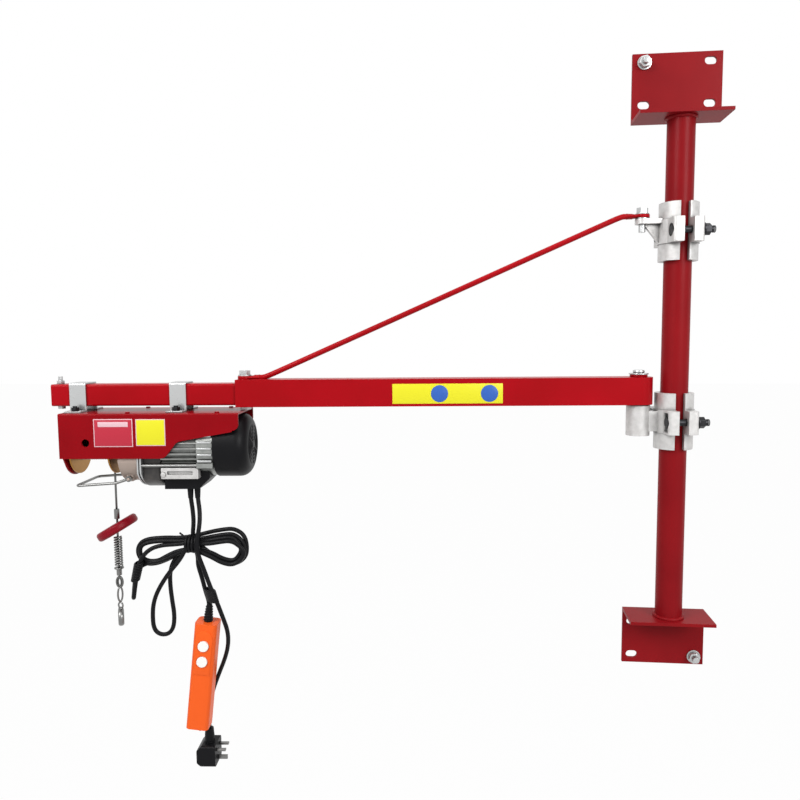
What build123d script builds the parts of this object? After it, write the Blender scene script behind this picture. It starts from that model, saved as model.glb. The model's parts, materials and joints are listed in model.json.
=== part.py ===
"""Wall-mounted swing arm with a small electric wire-rope hoist.

Millimetres, +Z up. X runs along the wall, +Y into it, and the wall is the
plane Y = 0. The origin is the middle of the lower bracket's wall face.
Clamps, arm and hoist are drawn in the swing frame: its origin is the mast's
axis and the arm points along -X. swing_place turns them to their place.
"""
from build123d import *
import math
import os

os.makedirs("parts", exist_ok=True)

# Mast and wall brackets
mast_od = 48.3
mast_wall = 3.2
mast_standoff = 40.0
mast_bottom_z = 54.0
mast_length = 908.0
bracket_sheet = 6.0
bracket_depth = 76.0
upper_bracket_width = 158.0
upper_bracket_height = 124.0
lower_bracket_width = 152.0
lower_bracket_height = 108.0
slot_length = 21.0
slot_width = 14.0
slot_spacing_x = 116.0
upper_slot_spacing_z = 74.0
lower_slot_spacing_z = 66.0
slot_edge = 16.0

# Swing of the clamps and arm, as stored
swing_angle = 4.6

# Clamps on the mast
clamp_bore_gap = 0.05
pivot_play = 0.3
clamp_wall = 10.1
clamp_height = 102.0
clamp_block_height = 42.0
clamp_gap = 17.0
clamp_ear_end = 14.0
clamp_ear_fillet = 6.0
upper_clamp_z = 762.0
lower_clamp_z = 424.0
clamp_bolt_r = 6.0
clamp_bolt_offset = 40.0
pivot_distance = 65.0
pivot_bolt_r = 8.0
boss_r = 21.0
boss_bottom_z = 397.0
boss_top_z = 452.0
ledge_top_z = 786.0
ledge_thickness = 9.0
ledge_r = 12.5

# Arm
arm_size = 50.0
arm_wall = 3.0
extension_play = 2.0
arm_bottom_z = 454.0
arm_length = 760.0
extension_size = arm_size - 2 * (arm_wall + extension_play)
extension_wall = 3.0
extension_exposed = 340.0
extension_overlap = 300.0
extension_corner_r = 4.0

# Tie rod
rod_r = 5.0
rod_eye_width = 26.0
rod_eye_thickness = 6.0
rod_foot_inset = 13.0
rod_bolt_r = 6.0
rod_bend_r = 30.0

fastener_gap = 0.25

mast_r = mast_od / 2
mast_y = -mast_standoff
pivot_x = -pivot_distance
arm_top_z = arm_bottom_z + arm_size
arm_end_x = pivot_x + arm_size / 2 - arm_length
tip_x = arm_end_x - extension_exposed
extension_bottom_z = arm_bottom_z + arm_wall
extension_top_z = extension_bottom_z + extension_size
swing_place = Pos(0, mast_y, 0) * Rot(0, 0, swing_angle)

written = []


def save(shape, node):
    export_step(shape, f"parts/{node}.step")
    written.append(node)


def save_swing(shape, node):
    save(swing_place * shape, node)


def rod_x(r, x0, x1, y, z):
    """A round bar along X."""
    return Pos((x0 + x1) / 2, y, z) * Rot(0, 90, 0) * Cylinder(r, abs(x1 - x0))


def rod_y(r, x, y0, y1, z):
    """A round bar along Y."""
    return Pos(x, (y0 + y1) / 2, z) * Rot(90, 0, 0) * Cylinder(r, abs(y1 - y0))


def rod_z(r, x, y, z0, z1):
    """A round bar along Z."""
    return Pos(x, y, (z0 + z1) / 2) * Cylinder(r, abs(z1 - z0))


def block(x0, x1, y0, y1, z0, z1):
    """A box given by its faces."""
    return Pos((x0 + x1) / 2, (y0 + y1) / 2, (z0 + z1) / 2) * Box(abs(x1 - x0), abs(y1 - y0), abs(z1 - z0))


def hexagon_z(across_flats, x, y, z0, z1):
    """A hexagon head or nut on a vertical bolt."""
    sketch = RegularPolygon(across_flats / 2, 6, major_radius=False)
    return Pos(x, y, z0) * extrude(sketch, z1 - z0)


def hexagon_x(across_flats, x0, x1, y, z):
    """A hexagon head or nut on a bolt along X."""
    sketch = RegularPolygon(across_flats / 2, 6, major_radius=False)
    return Pos(x0, y, z) * Rot(0, 90, 0) * extrude(sketch, x1 - x0)


# Wall brackets and mast
def wall_bracket(width, height, flange_z, plate_away, slot_spacing_z, slots_z):
    """Angle bracket: a slotted plate on the wall and a flange that carries the mast."""
    plate_z0 = flange_z if plate_away > 0 else flange_z - height
    plate = block(-width / 2, width / 2, -bracket_sheet, 0, plate_z0, plate_z0 + height)
    flange_z0 = flange_z if plate_away > 0 else flange_z - bracket_sheet
    flange = block(-width / 2, width / 2, -bracket_depth, 0, flange_z0, flange_z0 + bracket_sheet)
    bracket = plate + flange
    inner = [e for e in bracket.edges().filter_by(Axis.X)
             if abs(e.center().Y + bracket_sheet) < 0.01
             and abs(e.center().Z - (flange_z0 + (bracket_sheet if plate_away > 0 else 0))) < 0.01]
    bracket = fillet(inner, bracket_sheet * 0.8)
    for x in (-slot_spacing_x / 2, slot_spacing_x / 2):
        for z in (slots_z - slot_spacing_z / 2, slots_z + slot_spacing_z / 2):
            slot = extrude(SlotOverall(slot_length, slot_width), bracket_sheet * 3, both=True)
            bracket -= Pos(x, 0, z) * Rot(90, 0, 0) * slot
    return bracket


mast_top_z = mast_bottom_z + mast_length
upper_slots_z = mast_top_z + upper_bracket_height - slot_edge - upper_slot_spacing_z / 2
lower_slots_z = mast_bottom_z - lower_bracket_height + slot_edge + lower_slot_spacing_z / 2
save(wall_bracket(upper_bracket_width, upper_bracket_height, mast_top_z, 1,
                  upper_slot_spacing_z, upper_slots_z), "upper_wall_bracket")
save(wall_bracket(lower_bracket_width, lower_bracket_height, mast_bottom_z, -1,
                  lower_slot_spacing_z, lower_slots_z), "lower_wall_bracket")

mast = Pos(0, mast_y, mast_bottom_z + mast_length / 2) * (
    Cylinder(mast_r, mast_length) - Cylinder(mast_r - mast_wall, mast_length))
save(mast, "mast_tube")

# Clamps
collar_r = mast_r + clamp_wall
block_r = collar_r + 2.0
head_pocket_r = 11.5
head_pocket_depth = 8.0
clamp_bolt_y = (clamp_bolt_offset, -clamp_bolt_offset)


def clamp_half(side, centre_z):
    """One cast half: collar, thicker middle block and two bolting ears. side is -1 or 1."""
    body = Cylinder(collar_r, clamp_height)
    body += Cylinder(block_r, clamp_block_height)
    ear = extrude(Rectangle(block_r * 1.5, 2 * (clamp_bolt_offset + clamp_ear_end)),
                  clamp_block_height / 2, both=True)
    ear = fillet(ear.edges().filter_by(Axis.Z), clamp_ear_fillet)
    body += ear
    body -= Cylinder(mast_r + clamp_bore_gap, clamp_height * 2)
    far = 4 * block_r
    keep = Pos(side * (clamp_gap + far) / 2, 0, 0) * Box(far, 2 * far, 2 * clamp_height)
    body = body & keep
    for y in clamp_bolt_y:
        body -= rod_x(clamp_bolt_r + fastener_gap, -far, far, y, 0)
    return Pos(0, 0, centre_z) * body


def pocketed(half, centre_z):
    """The left half has round pockets that take the bolt heads."""
    outer = -block_r * 0.75
    for y in clamp_bolt_y:
        half -= rod_x(head_pocket_r, outer - 5, outer + head_pocket_depth, y, centre_z)
    return half


def lower_pivot_boss():
    """Vertical boss that carries the arm's end, tied to the clamp by a web."""
    boss = rod_z(boss_r, pivot_x, 0, boss_bottom_z, boss_top_z)
    web = block(pivot_x, -mast_r - 6, -14, 14, boss_bottom_z + 8, lower_clamp_z + clamp_block_height / 2 - 3)
    return boss + web


def upper_ledge():
    """Ear for the tie rod's eye, with a gusset under it."""
    ledge_z0 = ledge_top_z - ledge_thickness
    ledge = block(pivot_x, -mast_r - 6, -ledge_r, ledge_r, ledge_z0, ledge_top_z)
    ledge += rod_z(ledge_r, pivot_x, 0, ledge_z0, ledge_top_z)
    block_z0 = upper_clamp_z - clamp_block_height / 2
    profile = make_face(Polyline((pivot_x + 2, ledge_z0), (-mast_r - 6, ledge_z0), (-mast_r - 6, block_z0 + 2),
                                 (-collar_r - 2, block_z0 + 2), close=True))
    gusset = extrude(Plane.XZ * profile, 4, both=True)
    return ledge + gusset


mast_hole = Cylinder(mast_r + clamp_bore_gap, 4 * mast_length)
upper_left = pocketed(clamp_half(-1, upper_clamp_z), upper_clamp_z) + upper_ledge() - mast_hole
upper_left -= rod_z(rod_bolt_r + fastener_gap, pivot_x, 0, ledge_top_z - 40, ledge_top_z + 1)
save_swing(upper_left, "upper_clamp_pivot_half")
save_swing(clamp_half(1, upper_clamp_z), "upper_clamp_cap")
lower_left = pocketed(clamp_half(-1, lower_clamp_z), lower_clamp_z) + lower_pivot_boss() - mast_hole
lower_left -= rod_z(pivot_bolt_r + 0.05, pivot_x, 0, boss_bottom_z - 1, boss_top_z + 1)
save_swing(lower_left, "lower_clamp_pivot_half")
save_swing(clamp_half(1, lower_clamp_z), "lower_clamp_cap")


def clamp_bolts(centre_z):
    """Two horizontal bolts: head in the left pocket, washer and nut on the right ear."""
    outer = block_r * 0.75
    head_x = -outer + head_pocket_depth
    bolts = Part()
    for y in clamp_bolt_y:
        bolts += rod_x(clamp_bolt_r, head_x - 7.5, outer + 18, y, centre_z)
        bolts += hexagon_x(18, head_x - 7.5, head_x, y, centre_z)
        bolts += rod_x(12, outer, outer + 2.5, y, centre_z)
        bolts += hexagon_x(18, outer + 2.5, outer + 12.5, y, centre_z)
    return bolts


save_swing(clamp_bolts(upper_clamp_z), "upper_clamp_bolts")
save_swing(clamp_bolts(lower_clamp_z), "lower_clamp_bolts")

# Arm tube, its round closed end and pivot
arm_half = arm_size / 2


def rounded_bar(x0, x1, half, z0, z1):
    """A square bar with its right end half round, centred on the pivot."""
    bar = block(x0, x1, -half, half, z0, z1)
    return bar + rod_z(half, x1, 0, z0, z1)


arm = rounded_bar(arm_end_x, pivot_x, arm_half, arm_bottom_z, arm_top_z)
arm -= rounded_bar(arm_end_x - 1, pivot_x, arm_half - arm_wall, arm_bottom_z + arm_wall, arm_top_z - arm_wall)
pivot_sleeve_r = pivot_bolt_r + 4
arm -= rod_z(pivot_bolt_r + fastener_gap, pivot_x, 0, arm_bottom_z - 1, arm_top_z + 1)
rod_foot_x = arm_end_x + rod_foot_inset
arm -= rod_z(rod_bolt_r + fastener_gap, rod_foot_x, 0, arm_bottom_z - 1, arm_top_z + 1)
save_swing(arm, "arm_tube")
sleeve = rod_z(pivot_sleeve_r, pivot_x, 0, arm_bottom_z + arm_wall, arm_top_z - arm_wall)
sleeve -= rod_z(pivot_bolt_r + fastener_gap, pivot_x, 0, arm_bottom_z, arm_top_z)
save_swing(sleeve, "arm_pivot_sleeve")

pivot_washer = rod_z(boss_r - 3, pivot_x, 0, boss_top_z + pivot_play, arm_bottom_z)
pivot_washer -= rod_z(pivot_bolt_r + fastener_gap, pivot_x, 0, boss_top_z - 1, arm_bottom_z + 1)
save_swing(pivot_washer, "arm_pivot_washer")
pivot_bolt = rod_z(pivot_bolt_r, pivot_x, 0, boss_bottom_z + 4, arm_top_z + 8)
pivot_bolt += rod_z(17, pivot_x, 0, arm_top_z, arm_top_z + 3)
pivot_bolt += hexagon_z(24, pivot_x, 0, arm_top_z + 3, arm_top_z + 13)
save_swing(pivot_bolt, "arm_pivot_bolt")

extension = block(tip_x, arm_end_x + extension_overlap, -extension_size / 2, extension_size / 2,
                  extension_bottom_z, extension_top_z)
extension = fillet(extension.edges().filter_by(Axis.X), extension_corner_r)
inner = block(tip_x - 1, arm_end_x + extension_overlap + 1,
              -extension_size / 2 + extension_wall, extension_size / 2 - extension_wall,
              extension_bottom_z + extension_wall, extension_top_z - extension_wall)
extension -= inner
extension -= rod_z(rod_bolt_r + fastener_gap, rod_foot_x, 0, arm_bottom_z, arm_top_z)
stop_x = tip_x + 9
stop_r = 4
extension -= rod_z(stop_r + fastener_gap, stop_x, 0, arm_bottom_z, arm_top_z)
save_swing(extension, "extension_tube")

stop_bolt = rod_z(stop_r, stop_x, 0, extension_bottom_z - 5, extension_top_z + 14)
stop_bolt += hexagon_z(13, stop_x, 0, extension_top_z, extension_top_z + 6.5)
stop_bolt += hexagon_z(13, stop_x, 0, extension_bottom_z - 6, extension_bottom_z)
save_swing(stop_bolt, "end_stop_bolt")

# Tie rod
eye_bottom_z = ledge_top_z + 2
eye_top_z = eye_bottom_z + rod_eye_thickness
foot_z = arm_top_z + rod_eye_thickness / 2
head_z = eye_bottom_z + rod_eye_thickness / 2
rod_points = [(rod_foot_x + 15, 0, foot_z), (rod_foot_x + 36, 0, foot_z),
              (pivot_x - 36, 0, head_z), (pivot_x - 15, 0, head_z)]
rod_path = FilletPolyline(*rod_points, radius=rod_bend_r)
rod = sweep(Plane(origin=rod_points[0], z_dir=(1, 0, 0)) * Circle(rod_r), path=rod_path)


def rod_eye(x, z0):
    eye = rod_z(rod_eye_width / 2, x, 0, z0, z0 + rod_eye_thickness)
    return eye


def rod_tongue(x0, x1, z0):
    return block(x0, x1, -rod_eye_width / 2, rod_eye_width / 2, z0, z0 + rod_eye_thickness)


rod += rod_eye(rod_foot_x, arm_top_z) + rod_tongue(rod_foot_x, rod_foot_x + 22, arm_top_z)
rod += rod_eye(pivot_x, eye_bottom_z) + rod_tongue(pivot_x - 22, pivot_x, eye_bottom_z)
rod -= rod_z(rod_bolt_r + fastener_gap, rod_foot_x, 0, arm_top_z - 20, arm_top_z + 30)
rod -= rod_z(rod_bolt_r + 0.05, pivot_x, 0, eye_bottom_z - 20, eye_top_z + 20)
rod &= block(arm_end_x, mast_r, -arm_size, arm_size, arm_top_z, mast_top_z)
save_swing(rod, "tie_rod")

rod_foot_bolt = rod_z(rod_bolt_r, rod_foot_x, 0, arm_bottom_z - 6.5, arm_top_z + rod_eye_thickness + 6)
rod_foot_bolt += rod_z(12, rod_foot_x, 0, arm_top_z + rod_eye_thickness, arm_top_z + rod_eye_thickness + 2)
rod_foot_bolt += hexagon_z(18, rod_foot_x, 0, arm_top_z + rod_eye_thickness + 2, arm_top_z + rod_eye_thickness + 10)
rod_foot_bolt += hexagon_z(18, rod_foot_x, 0, arm_bottom_z - 6, arm_bottom_z)
save_swing(rod_foot_bolt, "tie_rod_foot_bolt")

rod_pivot_bolt = rod_z(rod_bolt_r, pivot_x, 0, ledge_top_z - ledge_thickness - 14, eye_top_z + 8)
rod_pivot_bolt += rod_z(12, pivot_x, 0, eye_top_z + pivot_play, eye_top_z + 2)
rod_pivot_bolt += hexagon_z(18, pivot_x, 0, eye_top_z + 2, eye_top_z + 12)
save_swing(rod_pivot_bolt, "tie_rod_pivot_bolt")
rod_washer = rod_z(12, pivot_x, 0, ledge_top_z, eye_bottom_z - pivot_play)
rod_washer -= rod_z(rod_bolt_r + fastener_gap, pivot_x, 0, ledge_top_z - 1, eye_bottom_z + 1)
save_swing(rod_washer, "tie_rod_washer")


# Hoist sizes. Distances along it are measured to the left from its frame's right end,
# which lies under the foot of the tie rod
frame_left = 323.0
frame_right = 0.0
frame_half_depth = 60.0
frame_sheet = 3.0
frame_top_z = 447.0
frame_deep_z = 366.0
frame_shallow_z = 413.0
frame_hole_r = 7.0
frame_hole = 275.0
frame_hole_z = 394.5
frame_step_left = 134.0
frame_step_right = 111.0
frame_step_rise = 30.0
frame_step_r = 18.0
drum_axis_z = 375.0
lobe_r = 47.0
drum_core_r = 16.0
rope_d = 4.0
drum_flange_r = 45.0
drum_flange_sheet = 3.0
drum_shaft_r = 8.0
drum_left = 314.0
drum_right = 241.0
hub_left = 220.0
hub_right = 186.0
hub_r = 58.0
hub_neck_left = 233.0
hub_neck_r = 30.0
ring_r = 67.0
ring_half_width = frame_half_depth - 4
ring_lip = 3.0
ring_groove = 2.0
gearbox_left = 178.0
gearbox_right = 144.0
gearbox_r = 68.5
gearbox_half_width = frame_half_depth - 13
motor_axis_z = 383.0
motor_r = 56.0
motor_fin_depth = 6.0
motor_fins = 36
motor_fin_sheet = 2.4
motor_right = 78.0
end_bell_right = 49.0
end_bell_r = 57.0
fan_cover_right = -12.0
fan_cover_r = 59.0
tie_bolt_r = 3.0
tie_bolt_y = ring_half_width - 4
tie_bolt_z = 31.0
box_left = 143.0
box_right = 60.0
box_half_depth = 37.0
box_bottom_z = 306.0
box_top_z = 345.0
box_corner = 20.0
foot_right = 76.0
foot_front = 54.0
foot_bottom_z = 328.0
foot_top_z = 348.0
strap_width = 30.0
strap_sheet = 3.0
strap_left = 302.5
strap_right = 118.5
strap_foot = 24.0
strap_bolt_r = 4.0
lever_tip = 302.0
lever_pivot = 205.0
lever_half_width = 45.0
lever_wire_r = 2.5
lever_bend = 229.0
lever_bend_z = 319.0
lever_tip_z = 314.0
lever_pivot_z = 327.0
lever_eye_r = 5.5
hook_line = 259.0
limit_disc_r = 40.0
limit_disc_thickness = 17.0
limit_disc_rim = 6.0
limit_disc_tilt = 30.0
limit_disc_z = 219.0
upper_ferrule_z = 236.0
upper_ferrule_top_z = 255.0
spring_bottom_z = 141.0
spring_top_z = 204.0
spring_r = 8.0
lower_ferrule_z = 125.0
lower_ferrule_r = 5.0
ferrule_collar = 3.0
thimble_half_height = 13.5
thimble_z = lower_ferrule_z - 2 * thimble_half_height
link_length = 34.0
link_z = 87.0
hook_neck_z = link_z - link_length / 2
hook_centre_z = 42.0
hook_outer_r = 17.0
hook_inner_r = 10.0
hook_turn = 23.0

winding_r = drum_core_r + rope_d
hook_y = winding_r + rope_d / 2 + 0.1


def at(distance):
    """X of a place in the hoist, by its distance to the left of the frame's right end."""
    return rod_foot_x - distance


hook_x = at(hook_line)

# Hoist frame: a bent sheet channel with its left end closed by a bearing plate
profile_points = [(at(frame_left), frame_top_z), (at(frame_left), frame_deep_z),
                  (at(frame_step_left), frame_deep_z),
                  (at(frame_step_right), frame_deep_z + frame_step_rise), (at(frame_right + 14), frame_shallow_z),
                  (at(frame_right), frame_shallow_z + 4), (at(frame_right), frame_top_z)]
flange_sketch = make_face(Polyline(*profile_points, close=True))


def flange(y):
    face = flange_sketch
    corners = [v for v in face.vertices() if abs(v.Y - frame_top_z) > 1 and v.X > at(frame_left) + 1]
    soft = [v for v in corners if abs(v.X - at(frame_step_left)) < 1 or abs(v.X - at(frame_step_right)) < 1]
    face = fillet(soft, frame_step_r)
    return Pos(0, y, 0) * extrude(Plane.XZ * face, frame_sheet / 2, both=True)


frame_y = frame_half_depth - frame_sheet / 2
frame = block(at(frame_left), at(frame_right), -frame_half_depth, frame_half_depth,
              frame_top_z - frame_sheet, frame_top_z)
frame += flange(-frame_y) + flange(frame_y)
end_shape = Pos(0, drum_axis_z) * Circle(lobe_r)
end_shape = make_hull((end_shape + make_face(Polyline(
    (-frame_half_depth, drum_axis_z + 8), (frame_half_depth, drum_axis_z + 8),
    (frame_half_depth, frame_top_z), (-frame_half_depth, frame_top_z), close=True))).edges())
end_plate = Pos(at(frame_left), 0, 0) * extrude(Plane.YZ * end_shape, frame_sheet)
frame += end_plate
top_edges = [e for e in frame.edges().filter_by(Axis.X)
             if abs(e.center().Z - frame_top_z) < 0.01 and abs(abs(e.center().Y) - frame_half_depth) < 0.01]
frame = fillet(top_edges, frame_sheet * 0.9)
frame -= rod_y(frame_hole_r, at(frame_hole), -frame_half_depth - 1, 0, frame_hole_z)
frame -= rod_x(drum_shaft_r + 0.05, at(frame_left) - 1, at(frame_left) + 10, 0, drum_axis_z)


def strap(distance):
    """Saddle strap over the extension tube, with a foot on each side."""
    x0, x1 = at(distance) - strap_width / 2, at(distance) + strap_width / 2
    inner_y = extension_size / 2 + 0.5
    outer_y = inner_y + strap_sheet
    foot_top = frame_top_z + strap_sheet
    saddle = block(x0, x1, -outer_y, outer_y, frame_top_z, extension_top_z + strap_sheet)
    saddle = fillet([e for e in saddle.edges().filter_by(Axis.X) if e.center().Z > extension_top_z], 4)
    saddle -= block(x0 - 1, x1 + 1, -inner_y, inner_y, frame_top_z - 1, extension_top_z)
    saddle += block(x0, x1, -outer_y - strap_foot, -inner_y, frame_top_z, foot_top)
    saddle += block(x0, x1, inner_y, outer_y + strap_foot, frame_top_z, foot_top)
    return saddle


strap_bolt_y = extension_size / 2 + strap_sheet + strap_foot / 2
strap_bolts = Part()
for label, distance in (("left", strap_left), ("right", strap_right)):
    piece = strap(distance)
    bolts = Part()
    for y in (-strap_bolt_y, strap_bolt_y):
        hole = rod_z(strap_bolt_r + fastener_gap, at(distance), y, frame_top_z - 20, frame_top_z + 20)
        piece -= hole
        frame -= hole
        bolts += rod_z(strap_bolt_r, at(distance), y, frame_top_z - frame_sheet - 6, frame_top_z + strap_sheet + 9)
        bolts += hexagon_z(13, at(distance), y, frame_top_z - frame_sheet - 5.5, frame_top_z - frame_sheet)
        bolts += hexagon_z(13, at(distance), y, frame_top_z + strap_sheet, frame_top_z + strap_sheet + 6.5)
    save_swing(piece, f"hanger_strap_{label}")
    strap_bolts += bolts
save_swing(strap_bolts, "hanger_strap_bolts")
save_swing(frame, "hoist_frame")

# Drum, which turns between the end plate and the hub housing
drum = rod_x(drum_core_r, at(drum_left), at(drum_right), 0, drum_axis_z)
drum += rod_x(drum_shaft_r, at(frame_left) - 4, at(hub_left) + 15, 0, drum_axis_z)
drum += rod_x(winding_r, at(drum_left - drum_flange_sheet), at(drum_right + drum_flange_sheet), 0, drum_axis_z)
save_swing(drum, "rope_drum")
drum_flanges = Part()
for x in (at(drum_left), at(drum_right) - drum_flange_sheet):
    disc = rod_x(drum_flange_r, x, x + drum_flange_sheet, 0, drum_axis_z)
    disc -= rod_x(drum_core_r, x - 1, x + drum_flange_sheet + 1, 0, drum_axis_z)
    drum_flanges += disc
save_swing(drum_flanges, "drum_flanges")

# Gear end
hub = rod_x(hub_r, at(hub_left), at(hub_right), 0, drum_axis_z)
hub &= block(at(hub_left), at(hub_right), -ring_half_width, ring_half_width, 0, arm_top_z)
hub += rod_x(hub_neck_r, at(hub_neck_left), at(hub_left), 0, drum_axis_z)
hub -= rod_x(drum_shaft_r + 0.05, at(hub_neck_left) - 1, at(hub_left) + 15.5, 0, drum_axis_z)
lever_pin_r = 2.5
for side in (-1, 1):
    ear_y = side * (lever_half_width - 4.5)
    hub += block(at(lever_pivot) - lever_eye_r, at(lever_pivot) + lever_eye_r, side * lever_half_width / 2, ear_y,
                 lever_pivot_z - lever_eye_r, lever_pivot_z + 2 * lever_eye_r)
    hub += rod_y(lever_pin_r, at(lever_pivot), ear_y, side * (lever_half_width + 5), lever_pivot_z)
save_swing(hub, "drum_hub_housing")


def trimmed_disc(r, half_width, distance0, distance1, z):
    """A disc across X with flats on both sides."""
    disc = rod_x(r, at(distance0), at(distance1), 0, z)
    return disc & block(at(distance0), at(distance1), -half_width, half_width, 0, arm_top_z)


groove_left = hub_right - ring_lip
groove_right = groove_left - ring_groove
ring = trimmed_disc(ring_r, ring_half_width, hub_right, groove_left, drum_axis_z)
ring += trimmed_disc(ring_r - 5, ring_half_width - 3, groove_left, groove_right, drum_axis_z)
ring += trimmed_disc(ring_r, ring_half_width, groove_right, gearbox_left, drum_axis_z)
ring += block(at(hub_right), at(gearbox_left), -40, 40, drum_axis_z, frame_top_z - frame_sheet)
save_swing(ring, "gearbox_flange")
gearbox = trimmed_disc(gearbox_r, gearbox_half_width, gearbox_left, gearbox_right, drum_axis_z)
gearbox = fillet(gearbox.faces().sort_by(Axis.X)[-1].edges(), 8)
save_swing(gearbox, "gearbox")

# Motor: finned body, end bell and fan cover
motor = rod_x(motor_r - motor_fin_depth, at(gearbox_right), at(motor_right), 0, motor_axis_z)
fin = Pos(0, 0, motor_r - motor_fin_depth / 2 - 0.5) * Box(gearbox_right - motor_right, motor_fin_sheet, motor_fin_depth + 1)
for index in range(motor_fins):
    motor += (Pos((at(gearbox_right) + at(motor_right)) / 2, 0, motor_axis_z)
              * Rot(360 * index / motor_fins, 0, 0) * fin)
save_swing(motor, "motor_body")
bell = rod_x(end_bell_r, at(motor_right), at(end_bell_right), 0, motor_axis_z)
for y in (-tie_bolt_y, tie_bolt_y):
    for dz in (-tie_bolt_z, tie_bolt_z):
        bell += rod_x(6, at(motor_right), at(end_bell_right), y, motor_axis_z + dz)
        bell &= block(at(motor_right), at(end_bell_right), -ring_half_width - 0.5, ring_half_width + 0.5, 0, arm_top_z)
        bell -= rod_x(tie_bolt_r + fastener_gap, at(motor_right) - 1, at(end_bell_right) - 4, y, motor_axis_z + dz)
save_swing(bell, "motor_end_bell")
tie_bolts = Part()
for y in (-tie_bolt_y, tie_bolt_y):
    for dz in (-tie_bolt_z, tie_bolt_z):
        tie_bolts += rod_x(tie_bolt_r, at(gearbox_left), at(end_bell_right) - 4, y, motor_axis_z + dz)
save_swing(tie_bolts, "motor_tie_bolts")
cover = rod_x(fan_cover_r, at(end_bell_right), at(fan_cover_right), 0, motor_axis_z)
cover = fillet(cover.faces().sort_by(Axis.X)[-1].edges(), 22)
save_swing(cover, "fan_cover")

# Control box under the motor and its cast foot
motor_clear = rod_x(motor_r + 0.3, at(gearbox_right), at(motor_right), 0, motor_axis_z)
bell_clear = rod_x(end_bell_r + 0.3, at(motor_right), at(end_bell_right), 0, motor_axis_z)
box = block(at(box_left), at(box_right), -box_half_depth, box_half_depth, box_bottom_z, box_top_z)
low_edge = [e for e in box.edges().filter_by(Axis.Y)
            if e.center().X > at(box_right) - 1 and e.center().Z < box_bottom_z + 1]
box = chamfer(low_edge, box_corner)
box -= motor_clear
box -= bell_clear
save_swing(box, "control_box")
foot = block(at(box_left), at(foot_right), -foot_front, -box_half_depth, foot_bottom_z, foot_top_z)
foot -= motor_clear
foot -= bell_clear
foot -= rod_x(6.3, at(motor_right) - 0.3, at(end_bell_right), -tie_bolt_y, motor_axis_z - tie_bolt_z)
save_swing(foot, "motor_foot")

# Limit lever: a wire frame hinged at the hub housing
lever_side = [(at(lever_pivot) - 4.3, lever_pivot_z - 1.6), (at(lever_bend), lever_bend_z), (at(lever_tip), lever_tip_z)]
lever_route = [(x, -lever_half_width, z) for x, z in lever_side]
lever_route += [(x, lever_half_width, z) for x, z in reversed(lever_side)]
lever_path = FilletPolyline(*lever_route, radius=8)
lever = sweep(Plane(origin=lever_path @ 0, z_dir=lever_path % 0) * Circle(lever_wire_r), path=lever_path)
for side in (-1, 1):
    y = side * lever_half_width
    lever += rod_y(lever_eye_r, at(lever_pivot), y - 3, y + 3, lever_pivot_z)
lever -= rod_y(lever_pin_r + 0.05, at(lever_pivot), -lever_half_width - 10, lever_half_width + 10, lever_pivot_z)
save_swing(lever, "limit_lever")

# Rope fall and everything that it lifts
save_swing(rod_z(rope_d / 2, hook_x, hook_y, upper_ferrule_top_z, drum_axis_z), "hoist_rope")
rope_end = rod_z(rope_d / 2, hook_x, hook_y, lower_ferrule_z + 8, upper_ferrule_z)
save_swing(rope_end, "rope_end")
save_swing(rod_z(5, hook_x, hook_y, upper_ferrule_z, upper_ferrule_top_z), "upper_ferrule")
limit_disc = Cylinder(limit_disc_r, limit_disc_thickness)
limit_disc = fillet(limit_disc.edges().filter_by(GeomType.CIRCLE), limit_disc_rim)
limit_disc -= Cylinder(7, limit_disc_thickness * 2)
limit_disc = Pos(hook_x, hook_y, limit_disc_z) * Rot(0, -limit_disc_tilt, 0) * limit_disc
save_swing(limit_disc, "limit_disc")
spring = rod_z(spring_r, hook_x, hook_y, spring_bottom_z, spring_top_z)
spring -= rod_z(spring_r - 2, hook_x, hook_y, spring_bottom_z - 1, spring_top_z + 1)
save_swing(spring, "buffer_spring")
lower_ferrule = rod_z(lower_ferrule_r, hook_x, hook_y, lower_ferrule_z, spring_bottom_z)
lower_ferrule += rod_z(spring_r + 1, hook_x, hook_y, spring_bottom_z - ferrule_collar, spring_bottom_z)
lower_ferrule -= rod_z(rope_d / 2, hook_x, hook_y, lower_ferrule_z + 8, spring_bottom_z + 1)
save_swing(lower_ferrule, "lower_ferrule")
thimble = Pos(hook_x, hook_y, thimble_z + thimble_half_height) * Rot(90, 0, 0) * (
    extrude(Ellipse(9, thimble_half_height) - Ellipse(5, thimble_half_height - 4.5), 3, both=True))
save_swing(thimble, "rope_thimble")
link_sketch = SlotOverall(link_length, 18, rotation=90) - SlotOverall(link_length - 8, 10, rotation=90)
link = Pos(hook_x, hook_y, link_z) * extrude(Plane.YZ * link_sketch, 2.5, both=True)
link -= thimble
save_swing(link, "hook_link")
hook = rod_z(5, 0, 0, hook_centre_z + hook_inner_r + 2, hook_neck_z)
hook_curve = Pos(0, hook_centre_z) * (Circle(hook_outer_r) - Circle(hook_inner_r))
hook_curve -= Pos(14, hook_centre_z + 12) * Rectangle(18, 18)
hook += extrude(Plane.YZ * hook_curve, 5.5, both=True)
hook = Pos(hook_x, hook_y, 0) * Rot(0, 0, hook_turn) * hook
save_swing(hook, "load_hook")

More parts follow.
